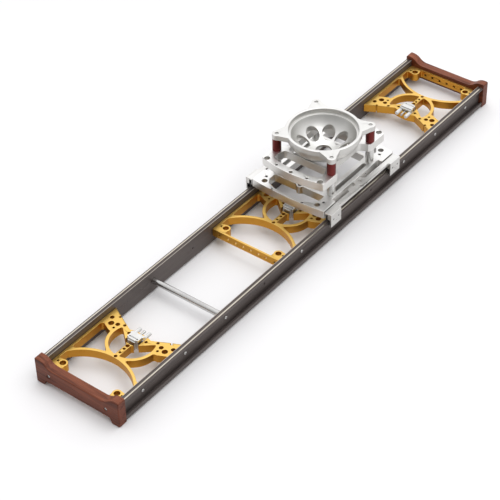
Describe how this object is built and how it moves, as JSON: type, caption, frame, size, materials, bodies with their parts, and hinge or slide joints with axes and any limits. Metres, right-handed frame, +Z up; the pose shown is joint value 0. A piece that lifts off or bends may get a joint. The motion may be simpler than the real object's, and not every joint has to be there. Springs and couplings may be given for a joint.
{
  "type": "camera slider",
  "caption": "Camera slider: twin channel rails with gold cross brackets and wooden end caps, and a wheeled carriage that carries a ball-head bowl.",
  "frame": {"origin": "on the floor under the middle of the slider, midway along and midway between the rails", "axes": "+X along the rails towards the end the carriage is stored at, +Z up, +Y to the left looking along +X"},
  "size_m": [0.914, 0.1584, 0.1253],
  "materials": {
    "walnut": "oiled, open grain",
    "rail_dark": "dark bronze anodised, satin",
    "gold": "gold anodised, satin",
    "plate_silver": "clear anodised, fine machining marks",
    "bowl_silver": "bead blasted",
    "truck_silver": "clear anodised, satin",
    "latch_silver": "machined",
    "pin_white": "smooth",
    "post_steel": "ground and polished",
    "tube_steel": "polished",
    "screw_steel": "stainless",
    "collar_red": "dark red anodised",
    "wheel_black": "moulded"
  },
  "bodies": {
    "frame": {"bracket_far": "gold", "bracket_mid": "gold", "bracket_near": "gold", "cap_screws_far": "screw_steel", "cap_screws_near": "screw_steel", "cross_tube_far": "tube_steel", "cross_tube_near": "tube_steel", "end_cap_far": "walnut", "end_cap_near": "walnut", "latch_block_far": "latch_silver", "latch_block_mid": "latch_silver", "latch_block_near": "latch_silver", "latch_pins_far": "pin_white", "latch_pins_mid": "pin_white", "latch_pins_near": "pin_white", "latch_screw_far": "screw_steel", "latch_screw_mid": "screw_steel", "latch_screw_near": "screw_steel", "rail_left": "rail_dark", "rail_right": "rail_dark", "rail_screws_left": "screw_steel", "rail_screws_right": "screw_steel"},
    "carriage": {"axles_left": "screw_steel", "axles_right": "screw_steel", "bowl": "bowl_silver", "collar_front_left": "collar_red", "collar_front_right": "collar_red", "collar_rear_left": "collar_red", "collar_rear_right": "collar_red", "leg_front_left": "truck_silver", "leg_front_right": "truck_silver", "leg_rear_left": "truck_silver", "leg_rear_right": "truck_silver", "lower_plate": "plate_silver", "lug_screws_left": "screw_steel", "lug_screws_right": "screw_steel", "post_front_left": "post_steel", "post_front_right": "post_steel", "post_rear_left": "post_steel", "post_rear_right": "post_steel", "studs": "screw_steel", "truck_left": "truck_silver", "truck_right": "truck_silver", "upper_plate": "plate_silver"},
    "wheel_front_left_1": {"wheel_front_left_1": "wheel_black"},
    "wheel_front_left_2": {"wheel_front_left_2": "wheel_black"},
    "wheel_front_right_1": {"wheel_front_right_1": "wheel_black"},
    "wheel_front_right_2": {"wheel_front_right_2": "wheel_black"},
    "wheel_rear_left_1": {"wheel_rear_left_1": "wheel_black"},
    "wheel_rear_left_2": {"wheel_rear_left_2": "wheel_black"},
    "wheel_rear_right_1": {"wheel_rear_right_1": "wheel_black"},
    "wheel_rear_right_2": {"wheel_rear_right_2": "wheel_black"}
  },
  "joints": [
    {"name": "carriage_slide", "type": "slide", "parent": "frame", "child": "carriage", "axis": [1, 0, 0], "range_m": [-0.4555, 0.2499]},
    {"name": "wheel_front_left_1_spin", "type": "hinge", "parent": "carriage", "child": "wheel_front_left_1", "pos_m": [0.01945, 0.07055, 0.04425], "axis": [0, 1, 0], "continuous": true},
    {"name": "wheel_front_left_2_spin", "type": "hinge", "parent": "carriage", "child": "wheel_front_left_2", "pos_m": [0.03195, 0.07055, 0.04425], "axis": [0, 1, 0], "continuous": true},
    {"name": "wheel_front_right_1_spin", "type": "hinge", "parent": "carriage", "child": "wheel_front_right_1", "pos_m": [0.01945, -0.07055, 0.04425], "axis": [0, 1, 0], "continuous": true},
    {"name": "wheel_front_right_2_spin", "type": "hinge", "parent": "carriage", "child": "wheel_front_right_2", "pos_m": [0.03195, -0.07055, 0.04425], "axis": [0, 1, 0], "continuous": true},
    {"name": "wheel_rear_left_1_spin", "type": "hinge", "parent": "carriage", "child": "wheel_rear_left_1", "pos_m": [0.17365, 0.07055, 0.04425], "axis": [0, 1, 0], "continuous": true},
    {"name": "wheel_rear_left_2_spin", "type": "hinge", "parent": "carriage", "child": "wheel_rear_left_2", "pos_m": [0.18615, 0.07055, 0.04425], "axis": [0, 1, 0], "continuous": true},
    {"name": "wheel_rear_right_1_spin", "type": "hinge", "parent": "carriage", "child": "wheel_rear_right_1", "pos_m": [0.17365, -0.07055, 0.04425], "axis": [0, 1, 0], "continuous": true},
    {"name": "wheel_rear_right_2_spin", "type": "hinge", "parent": "carriage", "child": "wheel_rear_right_2", "pos_m": [0.18615, -0.07055, 0.04425], "axis": [0, 1, 0], "continuous": true}
  ],
  "couplings": [
    {"joint": "wheel_front_left_1_spin", "follows": "carriage_slide", "rad_per_m": 166.67},
    {"joint": "wheel_front_left_2_spin", "follows": "carriage_slide", "rad_per_m": 166.67},
    {"joint": "wheel_front_right_1_spin", "follows": "carriage_slide", "rad_per_m": 166.67},
    {"joint": "wheel_front_right_2_spin", "follows": "carriage_slide", "rad_per_m": 166.67},
    {"joint": "wheel_rear_left_1_spin", "follows": "carriage_slide", "rad_per_m": 166.67},
    {"joint": "wheel_rear_left_2_spin", "follows": "carriage_slide", "rad_per_m": 166.67},
    {"joint": "wheel_rear_right_1_spin", "follows": "carriage_slide", "rad_per_m": 166.67},
    {"joint": "wheel_rear_right_2_spin", "follows": "carriage_slide", "rad_per_m": 166.67}
  ]
}
